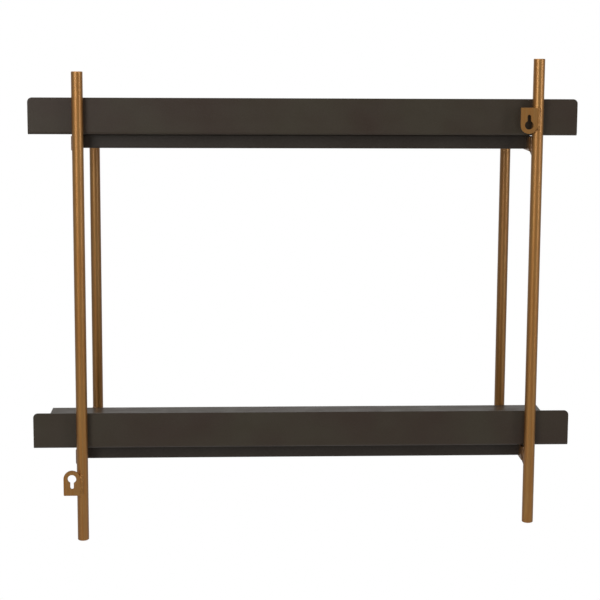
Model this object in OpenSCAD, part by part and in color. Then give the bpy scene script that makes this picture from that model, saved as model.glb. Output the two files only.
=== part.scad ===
// Two-tier wall shelf. Two folded sheet-metal trays, each with a tall back lip and two
// square-tube rails welded underneath, hang between two welded brackets. A bracket is a long
// back upright, a short front upright, two flat crossbars and one keyhole hanger plate.
// +Z is up and +Y points at the wall. Left and right are as seen from the room.
// The origin is the centre of the left hanger's round opening, on the face that meets the wall.
// The right bracket is fitted upside down, so its hanger is at the bottom end and its
// crossbars, which sit to one side of the uprights, are on the same side as the left one's.

/* [Trays] */
// Width of each tray, left to right
tray_w = 610; // [580:1:700]
// Depth of each tray, from the back lip's outer face to the front hem
tray_d = 178; // [140:1:240]
// Height of the back lip, measured from the tray's underside
lip_h = 40.6; // [20:0.1:60]
// Thickness of the tray sheet
sheet_t = 1.6; // [1.2:0.1:2]
// Inside radius of the bend between tray floor and lip
bend_r = 1.6; // [0.8:0.1:3]
// Radius of the lip's two top corners
lip_corner_r = 5; // [2:0.5:12]
// Width of the hem folded under the front edge
hem_w = 10; // [6:0.5:12]
// Distance from the lower tray's underside to the upper tray's
tray_pitch = 356; // [250:1:400]

/* [Brackets] */
// Distance between the left and right uprights' axes
bracket_gap = 509; // [400:1:520]
// Length of the back uprights, end caps included
upright_l = 530; // [500:1:700]
// From the hanger end of a back upright to the first crossbar
hanger_tail = 87; // [80:1:100]
// Outside diameter of the upright tube
rod_d = 12.7; // [11:0.1:14]
// Wall of the upright tube
rod_wall = 1.2; // [1:0.1:1.6]
// Thickness of the flat crossbars
bar_t = 6.4; // [5:0.1:8]
// From an upright's axis to the far face of its crossbars
bar_reach = 8; // [7:0.1:9]
// Side of the square tube used for the rails, also the height of the crossbars
tube_w = 16; // [15:0.5:20]
// Wall of the square tube
tube_wall = 1.5; // [1:0.1:2]
// Outside corner radius of the square tube
tube_corner_r = 2; // [1:0.1:2.5]
// How far the rails are set in from the tray's back and front edges
rail_inset = 13.5; // [13:0.5:30]

/* [Hangers] */
// Width of a hanger plate, also the diameter of its round end
hanger_w = 19; // [18:0.5:22]
// Thickness of a hanger plate
hanger_t = 2; // [1.5:0.1:3]
// Diameter of the keyhole's round opening
keyhole_d = 9.6; // [9:0.1:12]
// Width of the keyhole's slot
slot_w = 4; // [3.5:0.1:5]
// From the round opening's centre to the end of the slot
slot_reach = 11.6; // [10:0.1:13]
// From the round opening's centre to the plate's square end
square_reach = 19.3; // [17:0.1:24]
// Radius of the two corners at the plate's square end
plate_corner_r = 1.2; // [0.5:0.1:3]
// From the upright's end to the round opening's centre
hanger_drop = 73; // [60:1:80]
// From the upright's axis to the round opening's centre
hanger_offset = 11.2; // [11:0.1:12]

/* [Fasteners] */
// Diameter of the countersunk screws that hold the rails to the crossbars
screw_d = 5; // [4:0.5:5]
// Depth of the threaded plug in each rail end
plug_l = 14; // [10:1:20]

/* [Hidden] */
$fn = 48;
eps = 0.01;

LEFT = -1;
RIGHT = 1;
LOWER = 0;
UPPER = 1;
rod_r = rod_d / 2;
half_gap = bracket_gap / 2;
half_pitch = tray_pitch / 2;
half_tube = tube_w / 2;
tube_bore = tube_w - 2 * tube_wall;
min_corner_r = 0.3;
// The hem holds the floor one sheet thickness above the crossbars.
crossbar_gap = sheet_t;
front_y = -(tray_d + rod_d);
tray_back_y = -rod_r;
back_rail_y = tray_back_y - rail_inset - half_tube;
front_rail_y = tray_back_y - tray_d + rail_inset + half_tube;
rail_l = bracket_gap - bar_t;
crossbar_l = tray_d;
// The rails run from the left crossbars' far face to the right crossbars' near face, and the
// trays are centred on them.
rail_mid_x = bar_reach - bar_t / 2;
// Height of a bracket's middle above the lower tray's underside
bracket_mid_z = half_pitch - crossbar_gap - half_tube;
// In a bracket's own frame its middle is at z = 0 and its hanger end is up.
back_top_z = half_pitch + half_tube + hanger_tail;
back_mid_z = back_top_z - upright_l / 2;
front_l = tray_pitch + tube_w;
hanger_z = back_top_z - hanger_drop;
// The plate's near edge lies just off the upright's crest, and its inner face clears the rod.
hanger_edge = hanger_offset - hanger_w / 2;
hanger_gap = 0.03;
hanger_in_y = sqrt(rod_r * rod_r - hanger_edge * hanger_edge) + hanger_gap;
wall_y = hanger_in_y + hanger_t;

// End caps: a rounded disc with a spigot inside the tube
cap_t = 1.5;
cap_edge_r = 0.9;
spigot_l = 8;
spigot_clear = 0.05;

// Welds
weld_drop = 4.5;
weld_side = 1.5;
weld_toe = 0.2;
corner_bead_r = 2.4;
hanger_bead_r = 2.6;
stitch_r = 2.2;
stitch_sink = 0.4;
stitch_l = 25;
stitch_step = 180;

// Crossbars and screws
bar_near = bar_reach - bar_t;
bar_edge_r = 0.8;
head_d = 2 * screw_d;
head_h = (head_d - screw_d) / 2;
hex_af = 3;
hex_depth = 1.8;
head_clear = 0.05;
screw_clear = 0.3;
thread_clear = 0.05;
plug_clear = 0.1;

tray_colour = [0.23, 0.21, 0.19];
rail_colour = [0.17, 0.16, 0.15];
brass_colour = [0.55, 0.39, 0.2];
weld_colour = [0.5, 0.34, 0.17];
steel_colour = [0.45, 0.44, 0.42];

// ---- Frames ----

// Moves the shelf so that the left hanger's round opening is the origin.
module row_frame() {
    translate([half_gap - hanger_offset, -wall_y, -bracket_mid_z - hanger_z]) children();
}

// Places children in one bracket's own frame; the right bracket is upside down.
module on_bracket(side) {
    row_frame()
        translate([side * half_gap, 0, bracket_mid_z])
            if (side == RIGHT) mirror([0, 0, 1]) children();
            else children();
}

// Places children with z = 0 at one tray's underside.
module on_tray(level) {
    row_frame() translate([0, 0, level * tray_pitch]) children();
}

// ---- Shared shapes ----

module rounded_rect(size, radius) {
    square([size.x, size.y - 2 * radius], center = true);
    square([size.x - 2 * radius, size.y], center = true);
    for (sx = [-1, 1], sy = [-1, 1])
        translate([sx * (size.x / 2 - radius), sy * (size.y / 2 - radius)]) circle(r = radius);
}

// Square tube along +Z, centred
module square_tube(length) {
    linear_extrude(length, center = true)
        difference() {
            rounded_rect([tube_w, tube_w], tube_corner_r);
            rounded_rect([tube_bore, tube_bore], max(tube_corner_r - tube_wall, min_corner_r));
        }
}

// Round tube along Z, centred, with room for an end cap at each end
module upright_tube(length) {
    difference() {
        cylinder(d = rod_d, h = length - 2 * cap_t, center = true);
        cylinder(d = rod_d - 2 * rod_wall, h = length, center = true);
    }
}

// Cap whose outer face is at z = 0 and whose spigot points down
module end_cap() {
    spigot_r = rod_r - rod_wall - spigot_clear;
    rotate_extrude() {
        translate([0, -cap_t]) square([rod_r, cap_t - cap_edge_r]);
        translate([0, -cap_edge_r]) square([rod_r - cap_edge_r, cap_edge_r]);
        translate([rod_r - cap_edge_r, -cap_edge_r])
            intersection() {
                circle(r = cap_edge_r);
                square(cap_edge_r);
            }
        translate([0, -cap_t - spigot_l]) square([spigot_r, spigot_l + eps]);
    }
}

module end_caps(length) {
    for (flip = [0, 1])
        mirror([0, 0, flip]) translate([0, 0, length / 2]) end_cap();
}

// ---- Trays ----

// Section of a tray: u runs from the lip's outer face towards the room, v is up.
module tray_section() {
    outer_r = bend_r + sheet_t;
    difference() {
        translate([outer_r, outer_r]) circle(r = outer_r);
        translate([outer_r, outer_r]) circle(r = bend_r);
        translate([outer_r, 0]) square(3 * outer_r);
        translate([0, outer_r]) square(3 * outer_r);
    }
    translate([0, outer_r]) square([sheet_t, lip_h - outer_r]);
    translate([outer_r, 0]) square([tray_d - outer_r - sheet_t, sheet_t]);
    translate([tray_d - sheet_t - hem_w, -sheet_t]) square([hem_w, sheet_t]);
    translate([tray_d - sheet_t, 0])
        intersection() {
            circle(r = sheet_t);
            translate([0, -sheet_t]) square(2 * sheet_t);
        }
}

// Outline of the tray seen from the back, with rounded top corners
module tray_outline() {
    reach = tray_w / 2;
    translate([-reach, -2 * sheet_t]) square([tray_w, lip_h + 2 * sheet_t - lip_corner_r]);
    translate([-reach + lip_corner_r, -2 * sheet_t])
        square([tray_w - 2 * lip_corner_r, lip_h + 2 * sheet_t]);
    for (s = [-1, 1])
        translate([s * (reach - lip_corner_r), lip_h - lip_corner_r]) circle(r = lip_corner_r);
}

module tray(level) {
    color(tray_colour) on_tray(level)
        translate([rail_mid_x, tray_back_y, 0])
            intersection() {
                rotate([90, 0, -90]) linear_extrude(tray_w, center = true) tray_section();
                rotate([90, 0, 0]) linear_extrude(3 * tray_d, center = true) tray_outline();
            }
}

module rail(level, y) {
    color(rail_colour) on_tray(level)
        translate([rail_mid_x, y, -half_tube]) rotate([0, 90, 0]) square_tube(rail_l);
}

// Runs children at both ends of both rails of a tray, +X pointing out of the rail.
module at_rail_ends(level) {
    for (side = [LEFT, RIGHT], y = [back_rail_y, front_rail_y])
        on_tray(level)
            translate([rail_mid_x + side * rail_l / 2, y, -half_tube])
                mirror([side == LEFT ? 1 : 0, 0, 0]) children();
}

// Threaded plug welded into a rail end; its hole is level with the crossbar's middle.
module rail_plugs(level) {
    plug_w = tube_bore - plug_clear;
    color(steel_colour) at_rail_ends(level)
        difference() {
            translate([-plug_l / 2, 0, 0]) cube([plug_l, plug_w, plug_w], center = true);
            translate([0, 0, -crossbar_gap]) rotate([0, 90, 0])
                cylinder(r = screw_d / 2 + thread_clear, h = 4 * plug_l, center = true);
        }
}

// Short fillet welds between the rails' inner faces and the tray's underside
module tray_welds(level) {
    color(rail_colour)
        for (rail = [[back_rail_y, -1], [front_rail_y, 1]], i = [-1, 0, 1])
            on_tray(level)
                translate([rail_mid_x + i * stitch_step, rail[0], 0])
                    difference() {
                        translate([0, rail[1] * (half_tube - stitch_sink), -stitch_sink])
                            rotate([0, 90, 0]) cylinder(r = stitch_r, h = stitch_l, center = true);
                        translate([0, 0, -half_tube]) rotate([0, 90, 0])
                            linear_extrude(2 * stitch_l, center = true)
                                rounded_rect([tube_w, tube_w], tube_corner_r);
                        translate([-stitch_l, -tube_w, 0]) cube([2 * stitch_l, 2 * tube_w, tube_w]);
                    }
}

// ---- Brackets ----

module back_upright(side) {
    color(brass_colour) on_bracket(side) translate([0, 0, back_mid_z]) upright_tube(upright_l);
}

module front_upright(side) {
    color(brass_colour) on_bracket(side) translate([0, front_y, 0]) upright_tube(front_l);
}

module back_end_caps(side) {
    color(brass_colour) on_bracket(side) translate([0, 0, back_mid_z]) end_caps(upright_l);
}

module front_end_caps(side) {
    color(brass_colour) on_bracket(side) translate([0, front_y, 0]) end_caps(front_l);
}

// Runs children at both rails' screw holes in a crossbar, +X pointing away from the rails
// and x = 0 on the face that the heads are sunk in.
module at_screw_holes(side) {
    for (y = [back_rail_y, front_rail_y])
        translate([side == LEFT ? bar_near : bar_reach, y, 0])
            mirror([side == LEFT ? 1 : 0, 0, 0]) children();
}

module bar() {
    translate([(bar_near + bar_reach) / 2, front_y / 2, 0]) rotate([90, 0, 0])
        linear_extrude(crossbar_l, center = true) rounded_rect([bar_t, tube_w], bar_edge_r);
}

// end is 1 for the crossbar nearer the bracket's hanger and -1 for the other.
module crossbar(side, end) {
    color(brass_colour) on_bracket(side)
        translate([0, 0, end * half_pitch])
            difference() {
                bar();
                at_screw_holes(side) {
                    rotate([0, 90, 0])
                        cylinder(r = screw_d / 2 + screw_clear, h = 4 * bar_t, center = true);
                    rotate([0, -90, 0])
                        cylinder(r1 = head_d / 2 + head_clear, r2 = screw_d / 2 + head_clear, h = head_h);
                }
            }
}

// Outline of a hanger plate: round at one end, square with eased corners at the other
module plate_outline() {
    circle(d = hanger_w);
    translate([-hanger_w / 2, 0]) square([hanger_w, square_reach - plate_corner_r]);
    translate([plate_corner_r - hanger_w / 2, 0]) square([hanger_w - 2 * plate_corner_r, square_reach]);
    for (s = [-1, 1])
        translate([s * (hanger_w / 2 - plate_corner_r), square_reach - plate_corner_r])
            circle(r = plate_corner_r);
}

// Keyhole plate welded to the upright; the slot points to the square end.
module hanger(side) {
    color(brass_colour) on_bracket(side)
        translate([hanger_offset, hanger_in_y + hanger_t / 2, hanger_z])
            rotate([90, 0, 0])
                difference() {
                    linear_extrude(hanger_t, center = true) plate_outline();
                    cylinder(d = keyhole_d, h = 2 * hanger_t, center = true);
                    linear_extrude(2 * hanger_t, center = true) {
                        translate([-slot_w / 2, 0]) square([slot_w, slot_reach - slot_w / 2]);
                        translate([0, slot_reach - slot_w / 2]) circle(d = slot_w);
                    }
                }
}

// Countersunk screw along -X, its flat head level with x = 0
module screw(length) {
    difference() {
        rotate([0, -90, 0]) {
            cylinder(d = screw_d, h = length);
            cylinder(d1 = head_d, d2 = screw_d, h = head_h);
        }
        translate([-hex_depth, 0, 0])
            rotate([0, 90, 0]) cylinder(d = hex_af / cos(30), h = 2 * hex_depth, $fn = 6);
    }
}

module screws(side) {
    color(steel_colour) on_bracket(side)
        for (end = [-1, 1])
            translate([0, 0, end * half_pitch])
                at_screw_holes(side) screw(bar_t + plug_l);
}

// Weld at a crossbar's end; the bar leaves along -Y. Metal fills the groove between the bar's
// square end and the upright's side and runs on along the upright for the given drop.
// A bead closes the corner on the bar's other side.
module joint_weld(drop) {
    groove_r = norm([bar_reach, rod_r]);
    difference() {
        union() {
            intersection() {
                rotate_extrude()
                    polygon([
                        [0, -half_tube - drop], [rod_r + weld_toe, -half_tube - drop],
                        [groove_r, -half_tube], [groove_r, half_tube - weld_toe],
                        [0, half_tube - weld_toe]
                    ]);
                linear_extrude(4 * tube_w, center = true)
                    polygon([
                        [bar_near - weld_toe, -rod_r], [bar_reach - weld_toe, -rod_r],
                        [rod_r, -weld_side], [bar_near - weld_toe, -weld_side]
                    ]);
            }
            translate([bar_near, -rod_r, 0])
                cylinder(r = corner_bead_r, h = tube_w - 2 * bar_edge_r, center = true);
        }
        cylinder(r = rod_r, h = 4 * tube_w, center = true);
        bar();
    }
}

// Bead from the hanger plate's edge onto the upright's crest
module hanger_weld() {
    bead_l = square_reach + hanger_w / 4 - 2 * hanger_bead_r;
    bead_y = wall_y - hanger_bead_r;
    difference() {
        translate([hanger_edge - hanger_bead_r / 2, bead_y, hanger_z + square_reach - hanger_bead_r]) {
            sphere(r = hanger_bead_r);
            translate([0, 0, -bead_l]) {
                cylinder(r = hanger_bead_r, h = bead_l);
                sphere(r = hanger_bead_r);
            }
        }
        translate([0, 0, hanger_z]) cylinder(r = rod_r, h = 4 * hanger_w, center = true);
        translate([hanger_edge, -rod_r, hanger_z - hanger_w])
            cube([hanger_w, 4 * rod_r, 3 * hanger_w]);
    }
}

module bracket_welds(side) {
    color(weld_colour) on_bracket(side) {
        for (end = [-1, 1])
            translate([0, 0, end * half_pitch]) {
                joint_weld(weld_drop);
                // The front upright stops level with the crossbar furthest from the hanger.
                translate([0, front_y, 0]) mirror([0, 1, 0])
                    joint_weld(end > 0 ? weld_drop : -weld_toe);
            }
        hanger_weld();
    }
}

// ---- Nodes ----

module upper_tray() { tray(UPPER); }
module lower_tray() { tray(LOWER); }
module upper_back_rail() { rail(UPPER, back_rail_y); }
module upper_front_rail() { rail(UPPER, front_rail_y); }
module lower_back_rail() { rail(LOWER, back_rail_y); }
module lower_front_rail() { rail(LOWER, front_rail_y); }
module left_back_upright() { back_upright(LEFT); }
module right_back_upright() { back_upright(RIGHT); }
module left_front_upright() { front_upright(LEFT); }
module right_front_upright() { front_upright(RIGHT); }
module left_upper_crossbar() { crossbar(LEFT, 1); }
module left_lower_crossbar() { crossbar(LEFT, -1); }
module right_upper_crossbar() { crossbar(RIGHT, -1); }
module right_lower_crossbar() { crossbar(RIGHT, 1); }
module left_hanger() { hanger(LEFT); }
module right_hanger() { hanger(RIGHT); }
module left_back_end_caps() { back_end_caps(LEFT); }
module right_back_end_caps() { back_end_caps(RIGHT); }
module left_front_end_caps() { front_end_caps(LEFT); }
module right_front_end_caps() { front_end_caps(RIGHT); }
module upper_rail_plugs() { rail_plugs(UPPER); }
module lower_rail_plugs() { rail_plugs(LOWER); }
module left_screws() { screws(LEFT); }
module right_screws() { screws(RIGHT); }
module left_bracket_welds() { bracket_welds(LEFT); }
module right_bracket_welds() { bracket_welds(RIGHT); }
module upper_tray_welds() { tray_welds(UPPER); }
module lower_tray_welds() { tray_welds(LOWER); }

upper_tray();
lower_tray();
upper_back_rail();
upper_front_rail();
lower_back_rail();
lower_front_rail();
left_back_upright();
right_back_upright();
left_front_upright();
right_front_upright();
left_upper_crossbar();
left_lower_crossbar();
right_upper_crossbar();
right_lower_crossbar();
left_hanger();
right_hanger();
left_back_end_caps();
right_back_end_caps();
left_front_end_caps();
right_front_end_caps();
upper_rail_plugs();
lower_rail_plugs();
left_screws();
right_screws();
left_bracket_welds();
right_bracket_welds();
upper_tray_welds();
lower_tray_welds();
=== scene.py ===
"""Looks of a two-tier wall shelf: gunmetal trays between two antique brass brackets.

Metres throughout, in the CAD's own frame: +Z is up, +Y points at the wall, and left and right
are as seen from the room. Every place comes from the CAD nodes' boxes.
"""
import math

import bmesh
import bpy
from mathutils import Matrix, Vector, noise


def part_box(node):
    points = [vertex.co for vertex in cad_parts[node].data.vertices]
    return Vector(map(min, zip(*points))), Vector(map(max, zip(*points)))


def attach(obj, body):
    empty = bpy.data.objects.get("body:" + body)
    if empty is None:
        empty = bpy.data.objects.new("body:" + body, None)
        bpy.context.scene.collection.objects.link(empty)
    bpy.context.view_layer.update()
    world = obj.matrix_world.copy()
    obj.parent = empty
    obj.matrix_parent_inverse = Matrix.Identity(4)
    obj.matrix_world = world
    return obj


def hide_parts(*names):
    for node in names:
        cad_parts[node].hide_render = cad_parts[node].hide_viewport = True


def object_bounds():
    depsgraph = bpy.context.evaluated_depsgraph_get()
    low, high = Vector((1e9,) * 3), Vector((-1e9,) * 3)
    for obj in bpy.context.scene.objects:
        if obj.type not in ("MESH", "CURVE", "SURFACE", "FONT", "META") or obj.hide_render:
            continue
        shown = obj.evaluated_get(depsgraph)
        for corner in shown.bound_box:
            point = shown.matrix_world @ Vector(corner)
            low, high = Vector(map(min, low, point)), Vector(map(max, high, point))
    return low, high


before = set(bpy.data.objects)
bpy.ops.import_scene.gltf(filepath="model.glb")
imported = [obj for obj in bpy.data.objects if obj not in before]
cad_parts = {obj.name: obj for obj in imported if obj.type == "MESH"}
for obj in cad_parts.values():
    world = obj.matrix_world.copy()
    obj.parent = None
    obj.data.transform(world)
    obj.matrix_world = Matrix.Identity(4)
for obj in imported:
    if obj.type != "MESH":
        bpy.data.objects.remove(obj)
cad_low, cad_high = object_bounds()
MM = 0.001


def middle(node):
    """Centre of a CAD node's box."""
    low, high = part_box(node)
    return (low + high) / 2


# ---- Materials ----


class Graph:
    """A Principled material with short ways to add and join nodes."""

    def __init__(self, name):
        self.material = bpy.data.materials.new(name)
        self.material.use_nodes = True
        self.tree = self.material.node_tree
        self.tree.nodes.clear()
        self.surface = self.add("ShaderNodeBsdfPrincipled")
        output = self.add("ShaderNodeOutputMaterial")
        self.join(self.surface.outputs["BSDF"], output.inputs["Surface"])
        self.place = self.add("ShaderNodeTexCoord").outputs["Object"]

    def add(self, kind, **settings):
        node = self.tree.nodes.new(kind)
        for key, value in settings.items():
            setattr(node, key, value)
        return node

    def join(self, source, target):
        self.tree.links.new(source, target)

    def put(self, socket, value):
        """Sets a socket to a constant, or joins an output to it."""
        if isinstance(value, bpy.types.NodeSocket):
            self.join(value, socket)
        elif isinstance(value, tuple) and len(value) == 3 and socket.type == "RGBA":
            socket.default_value = (*value, 1)
        else:
            socket.default_value = value

    def grain(self, size, detail=2, rough=0.5, warp=0.0):
        """Noise with features of a size (x, y, z) in metres; the value lies about 0.5."""
        mapping = self.add("ShaderNodeMapping")
        self.join(self.place, mapping.inputs["Vector"])
        mapping.inputs["Scale"].default_value = tuple(1 / s for s in size)
        texture = self.add("ShaderNodeTexNoise")
        self.join(mapping.outputs["Vector"], texture.inputs["Vector"])
        texture.inputs["Scale"].default_value = 1
        texture.inputs["Detail"].default_value = detail
        texture.inputs["Roughness"].default_value = rough
        texture.inputs["Distortion"].default_value = warp
        return texture.outputs["Fac"]

    def range(self, value, low, high, to_low=0.0, to_high=1.0):
        """Maps a value from low..high to to_low..to_high, clamped."""
        node = self.add("ShaderNodeMapRange")
        self.put(node.inputs["Value"], value)
        for key, number in (("From Min", low), ("From Max", high),
                            ("To Min", to_low), ("To Max", to_high)):
            node.inputs[key].default_value = number
        return node.outputs["Result"]

    def mix(self, factor, first, second):
        """Blend of two colours."""
        node = self.add("ShaderNodeMix", data_type="RGBA")
        self.put(node.inputs["Factor"], factor)
        self.put(node.inputs[6], first)
        self.put(node.inputs[7], second)
        return node.outputs[2]

    def math(self, operation, first, second):
        node = self.add("ShaderNodeMath", operation=operation)
        self.put(node.inputs[0], first)
        self.put(node.inputs[1], second)
        return node.outputs["Value"]

    def bump(self, height, depth):
        """Bump whose full height is depth metres."""
        node = self.add("ShaderNodeBump")
        node.inputs["Distance"].default_value = depth
        self.join(height, node.inputs["Height"])
        return node.outputs["Normal"]

    def finish(self, **sockets):
        for name, value in sockets.items():
            self.put(self.surface.inputs[name.replace("_", " ")], value)
        return self.material


def cube(size):
    return (size, size, size)


def paint(name, dark, light, rough):
    """Satin coat on sheet steel: broad tone drift, fine orange peel, faint handling marks."""
    g = Graph(name)
    drift = g.range(g.grain(cube(75 * MM), detail=2), 0.35, 0.65)
    fleck = g.range(g.grain(cube(1.2 * MM), detail=2), 0.4, 0.75)
    tone = g.mix(drift, dark, light)
    tone = g.mix(g.math("MULTIPLY", fleck, 0.12), tone, (0.11, 0.10, 0.09))
    smear = g.grain((25 * MM, 12 * MM, 18 * MM), detail=4, warp=0.4)
    roughness = g.range(smear, 0.3, 0.7, rough - 0.06, rough + 0.07)
    peel = g.bump(g.grain(cube(0.9 * MM), detail=2), 0.02 * MM)
    return g.finish(Base_Color=tone, Roughness=roughness, Normal=peel, Specular_IOR_Level=0.4)


def antique_brass(name, along, depth=1.0):
    """Antique brass under lacquer: brown patina with soft golden streaks along the metal."""
    g = Graph(name)
    long_way = [2.2 * MM] * 3
    long_way[along] = 90 * MM
    fine_way = [0.4 * MM] * 3
    fine_way[along] = 22 * MM
    streak = g.grain(tuple(long_way), detail=2, rough=0.5)
    scratch = g.grain(tuple(fine_way), detail=2)
    cloud = g.range(g.grain(cube(24 * MM), detail=3, warp=0.5), 0.35, 0.68)
    # depth darkens all three tones evenly; the front uprights' 0.78 and the crossbars' 0.72 are
    # painted shade.
    gold = (0.54 * depth, 0.275 * depth, 0.070 * depth)
    brown = (0.48 * depth, 0.200 * depth, 0.035 * depth)
    umber = (0.30 * depth, 0.140 * depth, 0.05 * depth)
    tone = g.mix(g.range(streak, 0.34, 0.66), brown, gold)
    tone = g.mix(g.math("MULTIPLY", cloud, 0.30), tone, brown)
    tone = g.mix(g.range(scratch, 0.32, 0.48, 0.22, 0.0), tone, umber)
    roughness = g.range(streak, 0.3, 0.7, 0.50, 0.42)
    brushed = g.bump(scratch, 0.003 * MM)
    return g.finish(Base_Color=tone, Metallic=1.0, Roughness=roughness, Normal=brushed,
                    Coat_Weight=1.0, Coat_Roughness=0.30)


def welded_brass(name, darker_tone, lighter_tone):
    """Weld metal under the same finish: two tones mixed in random patches; the joint welds'
    darker pair is painted shade.
    """
    g = Graph(name)
    patch = g.range(g.grain(cube(3 * MM), detail=3, warp=0.6), 0.35, 0.68)
    pit = g.grain(cube(0.6 * MM), detail=3)
    tone = g.mix(patch, darker_tone, lighter_tone)
    roughness = g.range(pit, 0.3, 0.7, 0.42, 0.54)
    return g.finish(Base_Color=tone, Metallic=1.0, Roughness=roughness,
                    Normal=g.bump(pit, 0.02 * MM), Coat_Weight=0.6, Coat_Roughness=0.32)


def blackened_steel(name):
    """Dark plated steel of the screws and rail plugs, with a little bare metal."""
    g = Graph(name)
    rub = g.range(g.grain(cube(2.5 * MM), detail=4, warp=0.3), 0.48, 0.7)
    tone = g.mix(rub, (0.07, 0.066, 0.06), (0.30, 0.28, 0.25))
    turned = g.grain((4 * MM, 0.2 * MM, 0.2 * MM), detail=2)
    return g.finish(Base_Color=tone, Metallic=1.0,
                    Roughness=g.range(rub, 0.0, 1.0, 0.42, 0.26),
                    Normal=g.bump(turned, 0.01 * MM))


Y, Z = 1, 2
tray_paint = paint("gunmetal_paint", (0.043, 0.027, 0.017), (0.048, 0.037, 0.022), 0.42)
# A darker copy of the tray paint for the rails and tray beads: its darkness is painted shade from
# beneath the trays' lips.
rail_paint = paint("rail_paint", (0.024, 0.016, 0.010), (0.030, 0.022, 0.015), 0.45)
upright_brass = antique_brass("antique_brass_upright", Z)
# depth=0.78 darkens the front uprights and their caps: painted shade, since they stand farther
# from the lamps.
front_brass_painted_shade = antique_brass("antique_brass_front_upright_painted_shade", Z, depth=0.78)
# depth=0.72 darkens the crossbars: painted shade of their inner faces, given to the whole bar.
crossbar_brass_painted_shade = antique_brass("antique_brass_crossbar_painted_shade", Y, depth=0.72)
plate_brass = antique_brass("antique_brass_plate", Z, depth=0.96)
# The joint welds' dark tones are painted shade of the fillets under the trays, given to every
# joint bead.
joint_metal_painted_shade = welded_brass("joint_weld_brass_painted_shade", (0.15, 0.075, 0.034), (0.30, 0.150, 0.055))
hanger_metal = welded_brass("hanger_weld_brass", (0.42, 0.190, 0.045), (0.52, 0.265, 0.075))
hardware_steel = blackened_steel("hardware_steel")

FINISHES = (
    ("welds", rail_paint),
    ("tray", tray_paint),
    ("rail_plugs", hardware_steel),
    ("rail", rail_paint),
    ("crossbar", crossbar_brass_painted_shade),
    ("front_upright", front_brass_painted_shade),
    ("front_end_caps", front_brass_painted_shade),
    ("upright", upright_brass),
    ("end_caps", upright_brass),
    ("hanger", plate_brass),
    ("screws", hardware_steel),
)
for name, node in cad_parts.items():
    finish = next(material for word, material in FINISHES if word in name)
    for held in node.material_slots:
        held.material = finish


# ---- Welds ----

VOXEL = 0.35 * MM


def chain(bm, start, end, start_r, end_r, lump=0.0):
    """Overlapping balls from one point to another, which remeshing turns into one round bead."""
    start, end = Vector(start), Vector(end)
    count = max(2, round((end - start).length / (0.6 * MM)))
    for i in range(count + 1):
        part = i / count
        here = start.lerp(end, part)
        swell = 1 + lump * noise.noise(here * 260)
        r = (start_r + (end_r - start_r) * part) * swell
        bmesh.ops.create_icosphere(bm, subdivisions=2, radius=r, matrix=Matrix.Translation(here))


def as_weld(name, bm, material, replaced, limit):
    """Melts the balls together, adds fine ripples and keeps each point where limit says."""
    mesh = bpy.data.meshes.new(name)
    bm.to_mesh(mesh)
    bm.free()
    piece = bpy.data.objects.new(name, mesh)
    bpy.context.scene.collection.objects.link(piece)
    melt = piece.modifiers.new("melt", "REMESH")
    melt.mode = "VOXEL"
    melt.voxel_size = VOXEL
    even = piece.modifiers.new("even", "SMOOTH")
    even.factor = 0.5
    even.iterations = 5
    depsgraph = bpy.context.evaluated_depsgraph_get()
    melted = bpy.data.meshes.new_from_object(piece.evaluated_get(depsgraph))
    piece.modifiers.clear()
    piece.data = melted
    normals = [v.normal.copy() for v in melted.vertices]
    for vertex, normal in zip(melted.vertices, normals):
        ripple = noise.noise(vertex.co * 420) * 0.10 + noise.noise(vertex.co * 1300) * 0.04
        vertex.co = limit(vertex.co + normal * ripple * MM)
    melted.name = name
    melted.shade_smooth()
    melted.materials.clear()
    melted.materials.append(material)
    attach(piece, "root")
    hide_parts(replaced)


def joint_weld(bm, upright, crossbar, toward, tall, drop, foot):
    """Weld between a crossbar's square end and an upright's side.

    toward is the Y direction from the upright to the bar and tall the Z direction in which the
    weld runs on along the tube, for a length of drop. foot is how far it runs along the bar.
    """
    low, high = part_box(upright)
    tube_r = (high.x - low.x) / 2
    bar_low, bar_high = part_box(crossbar)
    half_bar = (bar_high.z - bar_low.z) / 2
    axis = Vector((middle(upright).x, middle(upright).y, middle(crossbar).z))
    near = bar_low.x - axis.x
    reach = bar_high.x - axis.x

    def at(across, along, up):
        return axis + Vector((across, toward * along, tall * up))

    top = half_bar - 1.2 * MM
    side = 0.5 * tube_r
    groove_x, groove_y, groove_r = 5.2 * MM, 4.5 * MM, 2.3 * MM
    edge_x, edge_y, edge_r = reach - 2 * MM, tube_r - 0.2 * MM, 1.7 * MM
    corner_r = 2.0 * MM
    root_r, toe_r = 2.6 * MM, 1.0 * MM
    even_lump, corner_lump, run_lump = 0.12, 0.1, 0.15

    # The groove between the bar's end and the tube
    chain(bm, at(groove_x, groove_y, -top), at(groove_x, groove_y, top),
          groove_r, groove_r, even_lump)
    chain(bm, at(edge_x, edge_y, -top), at(edge_x, edge_y, top), edge_r, edge_r, even_lump)
    # The corner on the bar's other side
    chain(bm, at(near, tube_r, -top), at(near, tube_r, top), corner_r, corner_r, corner_lump)
    if drop > 0:
        chain(bm, at(5.0 * MM, 4.6 * MM, top), at(4.7 * MM, 3.7 * MM, half_bar + drop),
              2.5 * MM, toe_r, run_lump)
        chain(bm, at(side, tube_r - 1.5 * MM, half_bar - 0.6 * MM),
              at(side, tube_r - 1.2 * MM, half_bar + 0.6 * drop), root_r, 1.6 * MM, run_lump)
    if foot > 0:
        foot_x = side + 1.5 * MM
        chain(bm, at(foot_x, tube_r, half_bar - 0.3 * MM),
              at(foot_x, tube_r + foot, half_bar - 0.8 * MM), root_r, toe_r, run_lump)


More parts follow.
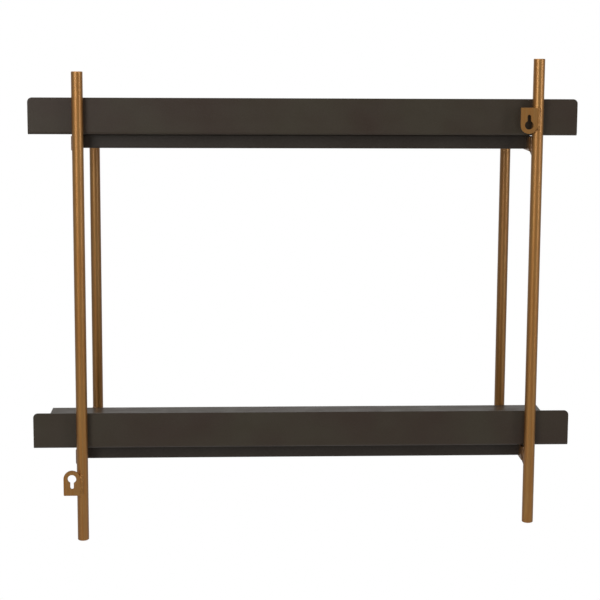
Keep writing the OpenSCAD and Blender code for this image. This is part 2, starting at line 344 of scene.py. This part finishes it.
def hanger_weld(bm, hanger, square_end):
    """Broad bead along a hanger plate's edge; square_end is the Z direction of its square end."""
    low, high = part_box(hanger)
    end_z = high.z if square_end > 0 else low.z
    length = 0.80 * (high.z - low.z)
    x = low.x - 1.0 * MM
    y = high.y - 2.4 * MM
    chain(bm, (x, y, end_z - square_end * 2 * MM), (x, y, end_z - square_end * length),
          2.5 * MM, 2.2 * MM, 0.16)
    # Each lump's place along the bead, and its radius in millimetres
    for part, size in ((0.06, 1.5), (0.36, 1.35), (0.88, 1.45)):
        lump = Vector((low.x - 0.2 * MM, high.y - 1.0 * MM, end_z - square_end * length * part))
        chain(bm, lump, lump - Vector((0.8 * MM, 0, 0)), size * MM, 0.8 * size * MM)


def bracket_welds(side, tall):
    """Welds of one bracket; tall is the Z direction away from its hanger end."""
    joints = bmesh.new()
    bead = bmesh.new()
    weld_drop, weld_foot = 4.5 * MM, 3.5 * MM
    for level in ("upper", "lower"):
        crossbar = f"{side}_{level}_crossbar"
        past_front = (level == "lower") if tall < 0 else (level == "upper")
        joint_weld(joints, f"{side}_back_upright", crossbar, -1, tall, weld_drop,
                   weld_foot if tall < 0 else 0)
        joint_weld(joints, f"{side}_front_upright", crossbar, 1, tall,
                   0 if past_front else weld_drop,
                   weld_foot if tall < 0 and not past_front else 0)
    hanger_weld(bead, f"{side}_hanger", -tall)
    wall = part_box(f"{side}_hanger")[1].y - 0.02 * MM
    unders = [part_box(f"{level}_back_rail")[1].z for level in ("upper", "lower")]
    lip_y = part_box("upper_tray")[1].y
    hem_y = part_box("upper_tray")[0].y

    near_tray, tray_gap = 8 * MM, 1.2 * MM

    def limit(point):
        """Keeps a point off the wall and out of the trays."""
        held = Vector((point.x, min(point.y, wall), point.z))
        if hem_y < held.y < lip_y:
            for under in unders:
                if abs(held.z - under) < near_tray:
                    held.z = min(held.z, under - tray_gap)
        return held

    replaced = f"{side}_bracket_welds"
    as_weld(f"{side}_joint_beads", joints, joint_metal_painted_shade, replaced, limit)
    as_weld(f"{side}_hanger_bead", bead, hanger_metal, replaced, limit)


def tray_welds(level):
    """Stitch welds where the rails' inner faces meet the tray."""
    bm = bmesh.new()
    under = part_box(f"{level}_back_rail")[1].z
    rail_mid = middle(f"{level}_back_rail").x
    half_stitch, stitch_r, step = 11.5 * MM, 1.8 * MM, 180 * MM
    z = under - 0.5 * MM
    for rail, inward in (("back", -1), ("front", 1)):
        low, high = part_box(f"{level}_{rail}_rail")
        y = low.y if inward < 0 else high.y
        for stitch in (-1, 0, 1):
            x = rail_mid + stitch * step
            chain(bm, (x - half_stitch, y, z), (x + half_stitch, y, z), stitch_r, stitch_r, 0.14)

    def limit(point):
        return Vector((point.x, point.y, min(point.z, under + 0.2 * MM)))

    as_weld(f"{level}_tray_beads", bm, rail_paint, f"{level}_tray_welds", limit)


bracket_welds("left", -1)
bracket_welds("right", 1)
tray_welds("upper")
tray_welds("lower")


# ---- Stage, light and camera ----


def world_light():
    """Even white behind the object, and a soft glow from the room side for reflections."""
    world = bpy.data.worlds.new("studio")
    bpy.context.scene.world = world
    world.use_nodes = True
    tree = world.node_tree
    tree.nodes.clear()

    def add(kind, **settings):
        node = tree.nodes.new(kind)
        for key, value in settings.items():
            setattr(node, key, value)
        return node

    direction = add("ShaderNodeTexCoord").outputs["Generated"]
    split = add("ShaderNodeSeparateXYZ")
    tree.links.new(direction, split.inputs["Vector"])
    glow = add("ShaderNodeMapRange", interpolation_type="SMOOTHSTEP")
    glow.inputs["From Min"].default_value = -0.95
    glow.inputs["From Max"].default_value = -0.55
    glow.inputs["To Min"].default_value = 0.85
    glow.inputs["To Max"].default_value = 0.36
    tree.links.new(split.outputs["Y"], glow.inputs["Value"])
    lit = add("ShaderNodeBackground")
    tree.links.new(glow.outputs["Result"], lit.inputs["Strength"])
    seen = add("ShaderNodeBackground")
    seen.inputs["Color"].default_value = (1, 1, 1, 1)
    choose = add("ShaderNodeMixShader")
    tree.links.new(add("ShaderNodeLightPath").outputs["Is Camera Ray"], choose.inputs["Fac"])
    tree.links.new(lit.outputs["Background"], choose.inputs[1])
    tree.links.new(seen.outputs["Background"], choose.inputs[2])
    output = add("ShaderNodeOutputWorld")
    tree.links.new(choose.outputs["Shader"], output.inputs["Surface"])


def softbox(name, aim, direction, distance, size, power):
    """Rectangular lamp at a distance from the object, facing it."""
    data = bpy.data.lights.new(name, "AREA")
    data.shape = "RECTANGLE"
    data.size, data.size_y = size
    data.energy = power
    lamp = bpy.data.objects.new(name, data)
    outward = Vector(direction).normalized()
    lamp.location = aim + outward * distance
    lamp.rotation_euler = outward.to_track_quat("Z", "Y").to_euler()
    lamp.visible_camera = False
    bpy.context.scene.collection.objects.link(lamp)


def floor_plane(height):
    """Pale floor that the camera sees as plain white."""
    bm = bmesh.new()
    bmesh.ops.create_grid(bm, x_segments=1, y_segments=1, size=12)
    mesh = bpy.data.meshes.new("floor")
    bm.to_mesh(mesh)
    bm.free()
    material = bpy.data.materials.new("pale_floor")
    material.use_nodes = True
    tree = material.node_tree
    tree.nodes.clear()
    matt = tree.nodes.new("ShaderNodeBsdfDiffuse")
    matt.inputs["Color"].default_value = (0.8, 0.8, 0.8, 1)
    white = tree.nodes.new("ShaderNodeEmission")
    choose = tree.nodes.new("ShaderNodeMixShader")
    ray = tree.nodes.new("ShaderNodeLightPath")
    output = tree.nodes.new("ShaderNodeOutputMaterial")
    tree.links.new(ray.outputs["Is Camera Ray"], choose.inputs["Fac"])
    tree.links.new(matt.outputs["BSDF"], choose.inputs[1])
    tree.links.new(white.outputs["Emission"], choose.inputs[2])
    tree.links.new(choose.outputs["Shader"], output.inputs["Surface"])
    mesh.materials.append(material)
    floor = bpy.data.objects.new("floor", mesh)
    floor.location.z = height
    bpy.context.scene.collection.objects.link(floor)


def photo_camera():
    """Camera on the wall side, above the upper tray, tilted down and turned towards -X."""
    yaw, pitch, roll = 0.0445, 0.1313, 0.0053
    ahead = Vector((-math.sin(yaw) * math.cos(pitch), -math.cos(yaw) * math.cos(pitch),
                    -math.sin(pitch)))
    right = Vector((-math.cos(yaw), math.sin(yaw), 0))
    up = right.cross(ahead)
    rolled_right = right * math.cos(roll) + up * math.sin(roll)
    rolled_up = up * math.cos(roll) - right * math.sin(roll)
    data = bpy.data.cameras.new("camera")
    data.sensor_width = 36
    data.lens = 87.09
    data.shift_y = -0.12
    camera = bpy.data.objects.new("camera", data)
    axes = Matrix((rolled_right, rolled_up, -ahead)).transposed()
    place = (0.3242, 1.5940, 0.0962)
    camera.matrix_world = Matrix.Translation(place) @ axes.to_4x4()
    bpy.context.scene.collection.objects.link(camera)
    bpy.context.scene.camera = camera


centre = (cad_low + cad_high) / 2
world_light()
floor_plane(cad_low.z - 1.1)
softbox("top", centre, (0.1, -0.25, 1), 2.4, (2.2, 1.6), 30)
softbox("key", centre, (0.50, 0.86, 0.45), 2.2, (0.7, 1.8), 17)
softbox("fill", centre, (-0.80, 0.60, 0.3), 2.2, (0.5, 1.8), 9)
photo_camera()
bpy.context.scene.view_settings.view_transform = "Standard"
